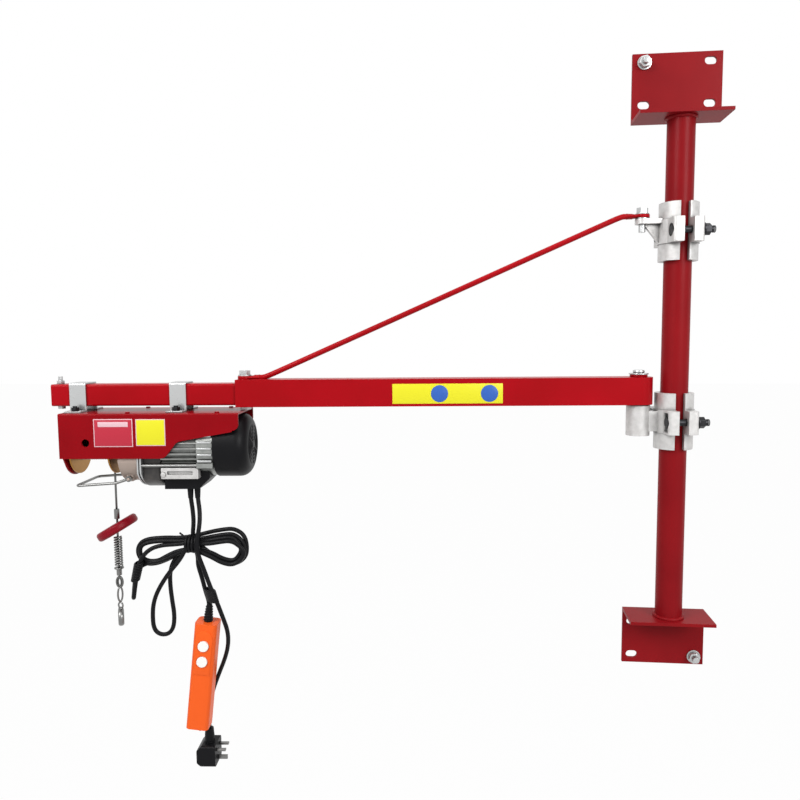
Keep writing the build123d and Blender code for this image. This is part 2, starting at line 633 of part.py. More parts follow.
# Pendant control, hung on its cord
pendant_top_z = 52.0
pendant_length = 205.0
pendant_width = 42.0
pendant_depth = 38.0
pendant_corner_r = 8.0
pendant_tilt = 6.5
pendant_distance = 76.0
cord_y = -22.0
button_r = 10.0
button_travel = 3.0
button_stand = 4.0
button_depth = 8.0
button_z = (-41.0, -71.0)
pendant_x = at(pendant_distance)
pendant_place = Pos(pendant_x, cord_y, pendant_top_z) * Rot(0, pendant_tilt, 0)
pendant = Pos(0, 0, -pendant_length / 2) * Box(pendant_width, pendant_depth, pendant_length)
pendant = fillet(pendant.edges().filter_by(Axis.Z), pendant_corner_r)
for z in button_z:
    pendant -= rod_y(button_r + 0.1, 0, -pendant_depth / 2 - 1, -pendant_depth / 2 + button_depth, z)
save_swing(pendant_place * pendant, "pendant_housing")
for label, z in zip(("up", "down"), button_z):
    button = rod_y(button_r, 0, -pendant_depth / 2 - button_stand,
                   -pendant_depth / 2 + button_depth - button_travel - 1, z)
    save_swing(pendant_place * button, f"pendant_{label}_button")

# Cords: the pendant's cord is folded into a hank and tied, the mains lead hangs past it
cord_d = 8.0
cord_r = cord_d / 2
gland_length = 20.0
gland_r = 5.8
gland_tip_r = 4.6
pendant_exit = 101.0
mains_exit = 88.0
boot_length = 34.0
boot_r = 8.0
boot_tip_r = 5.0


def spot(distance, y, z):
    return (at(distance), y, z)


def turn_angles(points):
    """Half the turn at each inner point of a route, in radians, with the shorter run beside it."""
    turns = []
    for a, b, c in zip(points, points[1:], points[2:]):
        before, after = Vector(*b) - Vector(*a), Vector(*c) - Vector(*b)
        turns.append((math.radians(before.get_angle(after)) / 2, min(before.length, after.length)))
    return turns


def cord_tube(points, label):
    """A tube along straight runs joined by arcs as large as the runs allow."""
    radii = [0.45 * run / math.tan(half) for half, run in turn_angles(points)]
    path = FilletPolyline(*points, radius=radii)
    tube = sweep(Plane(origin=path @ 0, z_dir=path % 0) * Circle(cord_r), path=path)
    print(label, "radii", [round(r) for r in radii], "length", round(path.length, 1),
          "volume ratio", round(tube.volume / (path.length * math.pi * cord_r ** 2), 4))
    return tube


glands = Part()
for distance in (pendant_exit, mains_exit):
    glands += Pos(at(distance), cord_y, box_bottom_z - gland_length / 2) * Cone(gland_tip_r, gland_r, gland_length)
save_swing(glands, "cord_glands")

tie_left, tie_right = 111.0, 86.0
tie_top_z, tie_bottom_z = 216.0, 184.0
tie_half_depth = 12.0
tie = block(at(tie_left), at(tie_right), cord_y - tie_half_depth, cord_y + tie_half_depth, tie_bottom_z, tie_top_z)
tie = fillet(tie.edges().filter_by(Axis.Y), 5)
save_swing(tie, "cord_tie")

upper_lead = [spot(pendant_exit, cord_y, box_bottom_z - gland_length), spot(98, cord_y, 263),
              spot(97, cord_y, 240), spot(100, cord_y, tie_top_z)]
save_swing(cord_tube(upper_lead, "pendant lead, upper"), "pendant_lead_upper")
lower_lead = [spot(99, cord_y, tie_bottom_z), spot(92, cord_y, 160), spot(84, -24, 135),
              spot(79, -23, 110), spot(pendant_distance - 4, cord_y, pendant_top_z + boot_length)]
save_swing(cord_tube(lower_lead, "pendant lead, lower"), "pendant_lead_lower")


def hank_side(outline, hole=None, half_depth=tie_half_depth - 1):
    """A flat bundle of cord, drawn by its outline seen from the front."""
    face = make_face(Polyline(*[(at(distance), z) for distance, z in outline], close=True))
    face = fillet(face.vertices(), 5)
    if hole:
        inside = make_face(Polyline(*[(at(distance), z) for distance, z in hole], close=True))
        face -= fillet(inside.vertices(), 5)
    return Pos(0, cord_y, 0) * extrude(Plane.XZ * face, half_depth, both=True)


left_outline = [(tie_left, 212), (178, 211), (204, 194), (213, 150), (214, 96), (205, 93), (194, 140),
                (160, 158), (tie_left, 188)]
save_swing(hank_side(left_outline), "cord_hank_left")
right_outline = [(tie_right, 190), (46, 157), (10, 156), (0, 176), (1, 215), (22, 230), (60, 227), (tie_right, 214)]
right_hole = [(72, 200), (45, 176), (20, 178), (18, 200), (40, 206)]
save_swing(hank_side(right_outline, right_hole), "cord_hank_right")

drop_loop = [spot(110, -32, 194), spot(122, -32, 172), spot(145, -31, 146), spot(166, -29, 114),
             spot(176, -28, 88), spot(179, -26, 62), spot(178, -25, 38), spot(168, -23, 26),
             spot(152, -22, 26), spot(142, -21, 38), spot(140, -19, 62), spot(144, -18, 91),
             spot(147, -17, 120), spot(146, -18, 146), spot(138, -18, 168)]
save_swing(cord_tube(drop_loop, "drop loop"), "cord_drop_loop")

boot = Pos(pendant_x, cord_y, pendant_top_z) * Rot(0, pendant_tilt, 0) * (
    Pos(0, 0, boot_length / 2) * Cone(boot_r, boot_tip_r, boot_length))
save_swing(boot, "pendant_boot")

plug_top_z = -172.0
mains_route = [spot(mains_exit, cord_y, box_bottom_z - gland_length), spot(84, -26, 265), spot(82, -34, 243),
               spot(85, -39, 220), spot(87, -39.5, 195), spot(84, -38.5, 178), spot(76, -37, 155),
               spot(67, -36.5, 126), spot(55, -36, 95), spot(45, -33, 63), spot(38, -27, 34), spot(40, -19, 4),
               spot(50, -9, -27), spot(63, 1, -56), spot(76, 4, -88), spot(85, 4, -118), spot(88, 4, -146),
               spot(88, 4, plug_top_z)]
save_swing(cord_tube(mains_route, "mains lead"), "mains_lead")

# Plug with three flat pins that point to the right
plug_x = at(89)
plug_y = 4.0
plug_neck_r = 8.0
plug_body_top_z = -198.0
plug_body_bottom_z = -240.0
plug_half_width = 23.0
plug = Pos(at(88), plug_y, (plug_top_z + plug_body_top_z) / 2) * Cone(
    plug_neck_r + 2, plug_neck_r, plug_top_z - plug_body_top_z)
shell = block(plug_x - 19, plug_x + 17, plug_y - plug_half_width, plug_y + plug_half_width,
              plug_body_bottom_z, plug_body_top_z)
shell = chamfer(shell.edges().filter_by(Axis.Y).sort_by(Axis.X)[:2], 9)
shell = fillet(shell.edges().filter_by(Axis.X), 6)
save_swing(plug + shell, "mains_plug")
pin_length = 18.0
pins = Part()
for y, z, across, up in ((-11.1, -210.0, 6.3, 4.0), (11.1, -210.0, 6.3, 4.0), (0.0, -231.0, 4.0, 8.0)):
    pins += block(plug_x + 17, plug_x + 17 + pin_length, plug_y + y - across / 2, plug_y + y + across / 2,
                  z - up / 2, z + up / 2)
save_swing(pins, "plug_pins")

print("nodes:", len(written))
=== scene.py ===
"""Dresses the wall-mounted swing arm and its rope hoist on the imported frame."""
import json
import math
import bpy
from mathutils import Matrix, Vector

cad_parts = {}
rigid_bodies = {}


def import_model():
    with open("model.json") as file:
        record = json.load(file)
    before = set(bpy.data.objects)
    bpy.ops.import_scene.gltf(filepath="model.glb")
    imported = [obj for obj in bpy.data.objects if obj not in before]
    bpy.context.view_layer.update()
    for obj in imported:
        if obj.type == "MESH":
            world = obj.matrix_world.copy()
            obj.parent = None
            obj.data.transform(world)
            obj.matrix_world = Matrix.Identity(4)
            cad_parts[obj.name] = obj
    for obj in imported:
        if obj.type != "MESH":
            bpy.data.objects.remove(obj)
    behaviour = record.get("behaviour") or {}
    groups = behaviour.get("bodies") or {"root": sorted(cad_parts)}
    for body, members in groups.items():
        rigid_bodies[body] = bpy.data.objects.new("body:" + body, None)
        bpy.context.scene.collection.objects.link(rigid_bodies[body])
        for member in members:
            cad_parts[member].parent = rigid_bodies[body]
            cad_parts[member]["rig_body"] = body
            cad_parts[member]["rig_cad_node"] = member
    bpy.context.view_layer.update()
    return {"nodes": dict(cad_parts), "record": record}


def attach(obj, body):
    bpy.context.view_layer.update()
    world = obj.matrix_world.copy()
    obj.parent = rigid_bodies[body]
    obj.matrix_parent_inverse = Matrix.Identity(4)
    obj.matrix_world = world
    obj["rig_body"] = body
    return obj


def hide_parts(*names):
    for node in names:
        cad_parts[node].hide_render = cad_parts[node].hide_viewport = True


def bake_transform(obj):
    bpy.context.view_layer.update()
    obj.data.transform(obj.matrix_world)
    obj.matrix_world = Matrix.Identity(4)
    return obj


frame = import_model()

mm = 0.001

# Places as in the solids. The arm is turned away from the wall; pivot, hoist frame and rope are in mm on it
swing_angle = math.radians(4.6)
mast_y = -0.040
pivot_x = -65.0
hoist_x = -787.0
rope_x, rope_y = hoist_x - 259, 22.1
swing = Matrix.Translation((0, mast_y, 0)) @ Matrix.Rotation(swing_angle, 4, "Z")


def on_arm(x, y, z):
    """A point of the swing frame, in mm, as a place in the room, in metres."""
    return swing @ Vector((x * mm, y * mm, z * mm))


def on_hoist(distance, y, z):
    """A point given by its distance in mm to the left of the hoist frame's right end."""
    return on_arm(hoist_x - distance, y, z)


# Materials
class Socket:
    """A node's output that takes part in sums, so that a finish reads as a formula."""

    def __init__(self, tree, output):
        self.tree = tree
        self.output = output

    def node(self, kind, inputs=None, **settings):
        """Any other node, with its settings and its inputs by name or number."""
        made = self.tree.nodes.new(kind)
        for name, value in settings.items():
            setattr(made, name, value)
        for name, value in (inputs or {}).items():
            plug(self.tree, made.inputs[name], value)
        return Socket(self.tree, made.outputs[0])

    def math(self, operation, other):
        return self.node("ShaderNodeMath", {0: self, 1: other}, operation=operation)

    def __add__(self, other):
        return self.math("ADD", other)

    def __mul__(self, other):
        return self.math("MULTIPLY", other)

    def mix(self, low, high):
        """Blends two colours by this value."""
        return self.node("ShaderNodeMix", {"Factor": self, 6: low, 7: high}, data_type="RGBA").pick(2)

    def pick(self, index):
        return Socket(self.tree, self.output.node.outputs[index])

    def ramp(self, low, high):
        """Spreads the values between low and high over 0 to 1."""
        return self.node("ShaderNodeMapRange", {"Value": self, "From Min": low, "From Max": high})


def plug(tree, entry, value):
    """Links a socket to an entry, or sets a plain value there."""
    if isinstance(value, Socket):
        tree.links.new(value.output, entry)
    else:
        entry.default_value = value


def finish(name, colour, roughness=0.5, metallic=0.0, coat=0.0, specular=0.5):
    """A new material with its main values on the shader's own sockets."""
    made = bpy.data.materials.new(name)
    made.use_nodes = True
    tree = made.node_tree
    shader = tree.nodes["Principled BSDF"]
    shader.inputs["Base Color"].default_value = (*colour, 1)
    shader.inputs["Roughness"].default_value = roughness
    shader.inputs["Metallic"].default_value = metallic
    shader.inputs["Coat Weight"].default_value = coat
    shader.inputs["Specular IOR Level"].default_value = specular
    place = tree.nodes.new("ShaderNodeTexCoord")
    return made, shader, Socket(tree, place.outputs["Object"])


def grain(place, scale, detail=3.0):
    """Fine noise over the surface."""
    return place.node("ShaderNodeTexNoise", {"Vector": place, "Scale": scale, "Detail": detail})


def bump(shader, height, strength, distance=0.001):
    """Gives the shader a relief."""
    relief = height.node("ShaderNodeBump", {"Height": height, "Strength": strength, "Distance": distance})
    height.tree.links.new(relief.output, shader.inputs["Normal"])


def vary(shader, place, low, high, scale):
    """Lets the colour wander a little over the surface."""
    patch = grain(place, scale).ramp(0.3, 0.7)
    plug(place.tree, shader.inputs["Base Color"], patch.mix((*low, 1), (*high, 1)))


def painted_recess_shade(place, open_colour, shade_colour, reach):
    """A colour with painted shade: it darkens towards a shade colour in the recesses, within reach mm of
    another surface.
    """
    open_air = place.node("ShaderNodeAmbientOcclusion", {"Distance": reach * mm}, samples=8).pick(1)
    return open_air.ramp(0.35, 0.9).mix((*shade_colour, 1), open_colour)


def paint(name, colour, darker, roughness, orange_peel=0.12, coat=0.03):
    """Sprayed paint: a slow change of shade and a fine orange peel."""
    made, shader, place = finish(name, colour, roughness, coat=coat, specular=0.08)
    shader.inputs["Coat Roughness"].default_value = 0.15
    vary(shader, place, darker, colour, 9.0)
    bump(shader, grain(place, 420.0, 2.0), orange_peel, 0.0004)
    return made


def steel(name, colour, roughness, brushed=0.08, scale=260.0, metallic=1.0):
    """Bare or plated steel with fine marks and painted shade that darkens its corners."""
    made, shader, place = finish(name, colour, roughness, metallic=metallic)
    marks = grain(place, scale, 4.0)
    # Painted shade: corners and recesses darken to a third of the colour.
    corners = [value * 0.3 for value in colour]
    plug(place.tree, shader.inputs["Base Color"], painted_recess_shade(place, (*colour, 1), corners, 5))
    plug(place.tree, shader.inputs["Roughness"], marks * 0.22 + (roughness - 0.08))
    bump(shader, marks, brushed, 0.0003)
    return made


def casting(name, colour, darker, roughness, metallic, relief=0.5, shade_depth=0.12, reach=14):
    """Cast metal: a grainy skin with painted shade in its recesses."""
    made, shader, place = finish(name, colour, roughness, metallic=metallic)
    patches = grain(place, 95.0, 5.0).ramp(0.30, 0.62).mix((*darker, 1), (*colour, 1))
    # Painted shade: recesses darken to this share of the colour.
    corners = [value * shade_depth for value in colour]
    plug(place.tree, shader.inputs["Base Color"], painted_recess_shade(place, patches, corners, reach))
    bump(shader, grain(place, 700.0, 5.0), relief, 0.0005)
    return made


def moulding(name, colour, roughness, relief=0.12, scale=900.0):
    """Moulded plastic or rubber with a fine skin."""
    made, shader, place = finish(name, colour, roughness, specular=0.12)
    skin = grain(place, scale, 2.0)
    bump(shader, skin, relief, 0.0002)
    plug(place.tree, shader.inputs["Roughness"], skin * 0.14 + (roughness - 0.07))
    return made


def light_card(name, colour, roughness=0.35):
    """A smooth printed card."""
    return finish(name, colour, roughness)[0]


materials = {
    "dark_red_paint": paint("dark red paint", (0.25, 0.006, 0.009), (0.20, 0.004, 0.007), 0.42),
    "red_paint": paint("red paint", (0.37, 0.002, 0.007), (0.31, 0.002, 0.005), 0.30),
    "hoist_red": paint("hoist red", (0.27, 0.001, 0.005), (0.22, 0.001, 0.004), 0.28),
    "grey_paint": paint("grey paint", (0.46, 0.37, 0.32), (0.37, 0.30, 0.26), 0.36),
    # For the castings, the last two numbers are the painted shade in recesses: its share of the colour and its
    # reach in mm.
    "cast_metal": casting("cast metal", (0.62, 0.61, 0.60), (0.51, 0.50, 0.49), 0.38, 0.45, 0.9, 0.06, 10),
    "motor_aluminium": casting("motor aluminium", (0.34, 0.35, 0.335), (0.26, 0.27, 0.26), 0.36, 0.75,
                               0.3, 0.05, 6),
    "dark_casting": casting("dark casting", (0.050, 0.045, 0.042), (0.03, 0.028, 0.028), 0.34, 0.3),
    "zinc_steel": steel("zinc plate", (0.52, 0.53, 0.53), 0.28, metallic=0.8),
    "bright_steel": steel("bright steel", (0.22, 0.22, 0.215), 0.28),
    "rope_steel": steel("rope steel", (0.17, 0.17, 0.165), 0.40, 0.15),
    "yellow_zinc": steel("yellow zinc", (0.36, 0.18, 0.045), 0.34),
    "black_steel": steel("black oxide", (0.035, 0.035, 0.038), 0.34),
    "black_plastic": moulding("black plastic", (0.005, 0.005, 0.006), 0.40),
    "red_plastic": moulding("red plastic", (0.22, 0.004, 0.012), 0.36),
    "orange_plastic": moulding("orange plastic", (0.84, 0.115, 0.016), 0.34, 0.05),
    "white_plastic": moulding("white plastic", (0.85, 0.85, 0.82), 0.3, 0.04),
    "black_rubber": moulding("black rubber", (0.006, 0.006, 0.007), 0.38, 0.15),
}
extra = {
    "yellow card": light_card("yellow card", (0.70, 0.66, 0.008)),
    "pale card": light_card("pale card", (0.70, 0.46, 0.50)),
    "blue card": light_card("blue card", (0.02, 0.10, 0.42)),
    "red card": light_card("red card", (0.44, 0.012, 0.035)),
    "button mark": light_card("button mark", (0.02, 0.02, 0.02)),
}
slot_of = {part["node"]: part["material_slot"] for part in frame["record"]["subparts"]}
body_of = {node: body for body, nodes in frame["record"]["behaviour"]["bodies"].items() for node in nodes}


# Modelling helpers. Their sizes and places are in mm
turned_to = {"Z": (0, 0, 0), "X": (0, math.pi / 2, 0), "Y": (math.pi / 2, 0, 0)}


def clear():
    bpy.ops.object.select_all(action="DESELECT")


clear()


def only(obj):
    """Selects one object and makes it the active one."""
    clear()
    obj.select_set(True)
    bpy.context.view_layer.objects.active = obj


def wear(obj, name):
    """Gives a piece one material."""
    obj.data.materials.clear()
    obj.data.materials.append(materials.get(name) or extra[name])
    name in materials


def settle(obj):
    """Moves a piece's place into its mesh."""
    only(obj)
    bpy.ops.object.transform_apply(location=True, rotation=True, scale=True)


def modify(obj, kind, **values):
    """Adds one modifier and applies it."""
    only(obj)
    made = obj.modifiers.new(kind.title(), kind)
    for name, value in values.items():
        setattr(made, name, value)
    bpy.ops.object.modifier_apply(modifier=made.name)


def smooth(obj, angle=35):
    """Smooth shading, with edges past an angle in degrees kept sharp."""
    only(obj)
    bpy.ops.object.shade_smooth_by_angle(angle=math.radians(angle))


def softened(node, width, segments=3, material=None):
    """A copy of a solid with its edges rounded by width mm, which takes the solid's place."""
    only(frame["nodes"][node])
    bpy.ops.object.duplicate()
    copy = bpy.context.view_layer.objects.active
    copy.name = f"{node}_finished"
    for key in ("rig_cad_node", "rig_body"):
        if key in copy:
            del copy[key]
    bpy.ops.object.mode_set(mode="EDIT")
    bpy.ops.mesh.select_all(action="SELECT")
    bpy.ops.mesh.remove_doubles(threshold=0.00002)
    bpy.ops.mesh.dissolve_limited(angle_limit=math.radians(1))
    bpy.ops.object.mode_set(mode="OBJECT")
    if width:
        modify(copy, "BEVEL", width=width * mm, segments=segments, limit_method="ANGLE",
               angle_limit=math.radians(30), use_clamp_overlap=True)
    smooth(copy, 32)
    modify(copy, "WEIGHTED_NORMAL", keep_sharp=True)
    copy.parent = None
    wear(copy, material or slot_of[node])
    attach(copy, body_of[node])
    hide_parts(node)
    return copy


def placed(obj, name, material, body, turned=True):
    """Names a new piece, puts it on the arm's turned frame and on its body."""
    obj.name = name
    if turned:
        obj.matrix_world = swing @ obj.matrix_world
    settle(obj)
    wear(obj, material)
    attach(obj, body)
    return obj


def cylinder(r, length, x, y, z, axis="Z", sides=48, chamfer=0.4):
    """A round bar in mm with chamfered rims."""
    clear()
    bpy.ops.mesh.primitive_cylinder_add(radius=r * mm, depth=length * mm, vertices=sides,
                                        location=(x * mm, y * mm, z * mm), rotation=turned_to[axis])
    made = bpy.context.object
    if chamfer:
        modify(made, "BEVEL", width=chamfer * mm, segments=2, limit_method="ANGLE",
               angle_limit=math.radians(40))
    smooth(made)
    return made


def cuboid(size, x, y, z, bevel=0.5):
    """A box in mm, given by its size and centre, with rounded edges."""
    clear()
    bpy.ops.mesh.primitive_cube_add(size=1, location=(x * mm, y * mm, z * mm))
    made = bpy.context.object
    made.scale = [value * mm for value in size]
    bpy.ops.object.transform_apply(location=False, rotation=False, scale=True)
    if bevel:
        modify(made, "BEVEL", width=bevel * mm, segments=3, limit_method="ANGLE",
               angle_limit=math.radians(40))
    smooth(made)
    return made


def ring(major, minor, x, y, z, axis="Z", around=64, across=16):
    """A round ring in mm, whose hole faces along an axis."""
    clear()
    bpy.ops.mesh.primitive_torus_add(major_radius=major * mm, minor_radius=minor * mm, major_segments=around,
                                     minor_segments=across, location=(x * mm, y * mm, z * mm),
                                     rotation=turned_to[axis])
    made = bpy.context.object
    smooth(made, 60)
    return made


def joined(pieces, name):
    """Several meshes as one piece."""
    clear()
    for piece in pieces:
        piece.select_set(True)
    bpy.context.view_layer.objects.active = pieces[0]
    bpy.ops.object.join()
    pieces[0].name = name
    return pieces[0]


def thread(r, length, x, y, z, axis="Z", pitch=1.5):
    """A bolt's threaded end, as close-set rounded ridges."""
    ridges = []
    count = int(length / pitch)
    for index in range(count):
        along = -length / 2 + (index + 0.5) * pitch
        place = {"Z": (x, y, z + along), "X": (x + along, y, z), "Y": (x, y + along, z)}[axis]
        ridges.append(ring(r - 0.25, 0.6, *place, axis=axis, around=24, across=6))
    return joined(ridges, "thread")


def coil(r, wire_r, length, turns, x, y, z, axis="Z", sides=10):
    """A wire wound round an axis, centred on a place."""
    clear()
    bpy.ops.mesh.primitive_circle_add(vertices=sides, radius=wire_r * mm,
                                      location=(r * mm, 0, -length / 2 * mm), rotation=turned_to["Y"])
    made = bpy.context.object
    settle(made)
    modify(made, "SCREW", angle=2 * math.pi, screw_offset=length / turns * mm, iterations=turns,
           steps=32, render_steps=32, use_smooth_shade=True)
    bpy.ops.object.mode_set(mode="EDIT")
    bpy.ops.mesh.select_all(action="SELECT")
    bpy.ops.mesh.fill_holes(sides=0)
    bpy.ops.mesh.normals_make_consistent(inside=False)
    bpy.ops.object.mode_set(mode="OBJECT")
    made.rotation_euler = turned_to[axis]
    made.location = (x * mm, y * mm, z * mm)
    smooth(made, 60)
    return made


def loop(half_width, half_height, wire_r, x, y, z, turn=0.0):
    """An upright oval loop of round wire; turn swings it about its own height."""
    clear()
    bpy.ops.curve.primitive_bezier_circle_add(radius=1, rotation=(math.pi / 2, 0, turn))
    made = bpy.context.object
    made.scale = ((half_width - wire_r) * mm, (half_height - wire_r) * mm, 1)
    bpy.ops.object.transform_apply(location=False, rotation=False, scale=True)
    made.data.bevel_depth = wire_r * mm
    made.data.bevel_resolution = 4
    made.data.resolution_u = 12
    made.location = (x * mm, y * mm, z * mm)
    bpy.ops.object.convert(target="MESH")
    smooth(made, 60)
    return made


def cut(obj, tool):
    """Takes one piece's form out of another."""
    modify(obj, "BOOLEAN", object=tool, operation="DIFFERENCE", solver="EXACT")
    only(tool)
    bpy.ops.object.delete()


def nut(across_flats, height, x, y, z, axis="Z"):
    """A hexagon nut with chamfered corners."""
    return cylinder(across_flats / 2 / math.cos(math.pi / 6), height, x, y, z, axis, sides=6, chamfer=0.8)


# Mast and brackets
def weld_bead(z):
    """A rippled fillet weld round the foot of the mast."""
    bead = ring(24.4, 3.6, 0, 0, z, around=96, across=14)
    ripples = bpy.data.textures.new("weld ripples", "CLOUDS")
    ripples.noise_scale = 0.006
    modify(bead, "DISPLACE", texture=ripples, strength=0.0018, mid_level=0.5)
    bead.location.y += mast_y
    return placed(bead, "mast_weld_upper" if z > 500 else "mast_weld_lower", "dark_red_paint",
                  "wall_mast", False)


softened("upper_wall_bracket", 1.0)
softened("lower_wall_bracket", 1.0)
softened("mast_tube", 0.6)
weld_bead(960.5)
weld_bead(55.5)


def wall_anchor(name, x, z):
    """An anchor bolt with its washer and nut in one of the slots."""
    washer = cylinder(12.5, 2.4, x, -7.2, z, "Y")
    hexagon = nut(19, 9, x, -12.9, z, "Y")
    stud = cylinder(5.4, 10, x, -21, z, "Y", sides=24)
    ridges = thread(5.8, 9, x, -21.5, z, "Y")
    hexagon.rotation_euler.y += 0.3
    return placed(joined([washer, hexagon, stud, ridges], name), name, "zinc_steel", "wall_mast", False)


wall_anchor("wall_anchor_upper", -58, 1070)
wall_anchor("wall_anchor_lower", 58, -38)

# Clamps
for node in ("upper_clamp_pivot_half", "upper_clamp_cap", "lower_clamp_cap"):
    softened(node, 2.2, 3)
lower_half = softened("lower_clamp_pivot_half", 2.2, 3)


def ear_slots():
    """Upright grooves round the bolt heads of the lower clamp."""
    for side in (-1, 1):
        tool = cuboid((13, 19, 35), -27, side * 40, 424, 2)
        tool.matrix_world = swing @ tool.matrix_world
        cut(lower_half, tool)
    smooth(lower_half, 32)


ear_slots()
for node in ("upper_clamp_bolts", "lower_clamp_bolts"):
    softened(node, 0.5, 2)
for height, z in (("upper", 762), ("lower", 424)):
    ends = [thread(6.0, 5, 46.5, y, z, "X") for y in (-40, 40)]
    placed(joined(ends, f"{height}_clamp_threads"), f"{height}_clamp_threads", "black_steel", "clamp_set")

# Arm
softened("arm_tube", 2.4, 4)
softened("arm_pivot_sleeve", 0.4, 2)
softened("arm_pivot_washer", 0.4, 2)


def pivot_bolt():
    """The arm's pivot bolt: a red pad, a wide washer and a low domed head on a plain shank."""
    x = pivot_x
    shank = cylinder(8, 106, x, 0, 454)
    washer = cylinder(17.5, 2.2, x, 0, 509.6)
    collar = cylinder(11, 4, x, 0, 506)
    head = cylinder(10.5, 6, x, 0, 513.6, chamfer=2.4)
    bolt = placed(joined([shank, washer, collar, head], "bolt"), "arm_pivot_bolt_finished",
                  slot_of["arm_pivot_bolt"], body_of["arm_pivot_bolt"])
    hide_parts("arm_pivot_bolt")
    pad = cylinder(16, 4.2, x, 0, 506, chamfer=2.5)
    cut(pad, cylinder(11.2, 12, x, 0, 506, chamfer=0))
    placed(pad, "arm_pivot_pad", slot_of["arm_tube"], "arm")


pivot_bolt()
softened("extension_tube", 1.4, 3)
softened("end_stop_bolt", 0.5, 2)


def smooth_bar(name, route, radius, turns, resolution):
    """A round bar or cord along a smooth line over control points, given in metres."""
    clear()
    bpy.ops.curve.primitive_nurbs_path_add()
    made = bpy.context.object
    made.name = name
    data = made.data
    data.splines.remove(data.splines[0])
    spline = data.splines.new("NURBS")
    spline.points.add(len(route) - 1)
    for point, place in zip(spline.points, route):
        point.co = (*place, 1)
    spline.order_u = 3
    spline.use_endpoint_u = True
    spline.resolution_u = resolution
    data.dimensions = "3D"
    data.bevel_depth = radius
    data.bevel_resolution = turns
    data.use_fill_caps = True
    return made


def tie_rod():
    """A round bar with two gentle bends, flattened into an eye at each end."""
    foot_x, foot_z = hoist_x, 507
    head_x, head_z = pivot_x, 791
    rise = 9.9
    eye_r, eye_thick, bar_r = 13, 6, 5
    route = [(foot_x + 18, foot_z), (foot_x + 28, foot_z), (foot_x + 36, foot_z), (foot_x + 60, foot_z + rise),
             (head_x - 60, head_z - rise), (head_x - 36, head_z), (head_x - 28, head_z), (head_x - 18, head_z)]
    bar = smooth_bar("tie_rod_bar", [(x * mm, 0, z * mm) for x, z in route], bar_r * mm, 6, 16)
    only(bar)
    bpy.ops.object.convert(target="MESH")
    smooth(bar, 60)
    pieces = [bar]
    for x, z, way in ((foot_x, foot_z, 1), (head_x, head_z, -1)):
        clear()
        bpy.ops.mesh.primitive_cone_add(vertices=32, radius1=eye_r * mm, radius2=5.4 * mm, depth=20 * mm,
                                        location=((x + way * 18) * mm, 0, z * mm),
                                        rotation=(0, way * math.pi / 2, 0))
        tongue = bpy.context.object
        settle(tongue)
        for vertex in tongue.data.vertices:
            if abs(vertex.co.x - x * mm) < 12 * mm:
                vertex.co.z = z * mm + (vertex.co.z - z * mm) * eye_thick / 2 / eye_r
        smooth(tongue, 50)
        eye = cylinder(eye_r, eye_thick, x, 0, z, chamfer=0.8)
        cut(eye, cylinder(6.3, 12, x, 0, z, chamfer=0))
        cut(tongue, cylinder(12.6, 12, x, 0, z, chamfer=0))
        pieces += [eye, tongue]
    made = placed(joined(pieces, "tie_rod_forged"), "tie_rod_forged", slot_of["tie_rod"], body_of["tie_rod"])
    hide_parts("tie_rod")


tie_rod()
softened("tie_rod_foot_bolt", 0.6, 2)
softened("tie_rod_pivot_bolt", 0.6, 2)
softened("tie_rod_washer", 0.3, 2)


def arm_band():
    """A blank yellow band with two plain blue discs on the arm's front face."""
    band = cuboid((199, 0.5, 36), pivot_x - 349.5, -25.1, 477, 0.2)
    placed(band, "arm_band", "yellow card", "arm")
    discs = [cylinder(15.5, 0.4, pivot_x - d, -25.5, 477, "Y", chamfer=0.1) for d in (364, 274)]
    placed(joined(discs, "arm_band_discs"), "arm_band_discs", "blue card", "arm")


arm_band()

# Hoist
hoist_frame = softened("hoist_frame", 1.1, 3)
for node, width, segments in (("hanger_strap_left", 0.8, 2), ("hanger_strap_right", 0.8, 2),
                              ("hanger_strap_bolts", 0.5, 2), ("drum_flanges", 0.6, 2),
                              ("drum_hub_housing", 1.6, 3)):
    softened(node, width, segments)
softened("gearbox_flange", 0.6, 2, material="zinc_steel")
for node, width, segments in (("gearbox", 1.4, 3), ("motor_end_bell", 1.6, 3), ("motor_tie_bolts", 0.5, 2),
                              ("fan_cover", 0.8, 2), ("control_box", 2.2, 3)):
    softened(node, width, segments)
foot = softened("motor_foot", 1.4, 3)
for node, width, segments in (("limit_lever", 0, 1), ("upper_ferrule", 0.8, 2), ("lower_ferrule", 1.2, 3),
                              ("limit_disc", 0, 1), ("pendant_housing", 2.5, 4),
                              ("pendant_up_button", 1.2, 3), ("pendant_down_button", 1.2, 3),
                              ("mains_plug", 1.6, 3), ("plug_pins", 0.6, 2), ("pendant_boot", 0.6, 2),
                              ("cord_glands", 0.6, 2)):
    softened(node, width, segments)


def foot_groove():
    """The long groove and the round boss on the front of the motor's foot."""
    tool = cuboid((46, 6, 6.5), hoist_x - 109, -54, 339, 1)
    tool.matrix_world = swing @ tool.matrix_world
    cut(foot, tool)
    smooth(foot, 32)
    boss = cylinder(4.4, 3, hoist_x - 139, -54.6, 336, "Y", chamfer=0.6)
    placed(boss, "foot_boss", slot_of["motor_foot"], "arm")


def wound_drum():
    """The drum's core and shaft with the rope wound on it."""
    core = cylinder(16.2, 72, hoist_x - 277.5, 0, 375, "X")
    shaft = cylinder(8, 122, hoist_x - 266, 0, 375, "X")
    rope = coil(18, 1.98, 66.5, 16, hoist_x - 277.5, 0, 375, "X", 12)
    made = placed(joined([core, shaft, rope], "rope_drum_wound"), "rope_drum_wound", slot_of["rope_drum"],
                  body_of["rope_drum"])
    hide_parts("rope_drum")


def spring():
    """The coil spring over the rope's end."""
    made = coil(6.4, 1.6, 58, 12, rope_x, rope_y, 172.5)
    placed(made, "buffer_spring_wound", "bright_steel", body_of["buffer_spring"])
    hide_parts("buffer_spring")


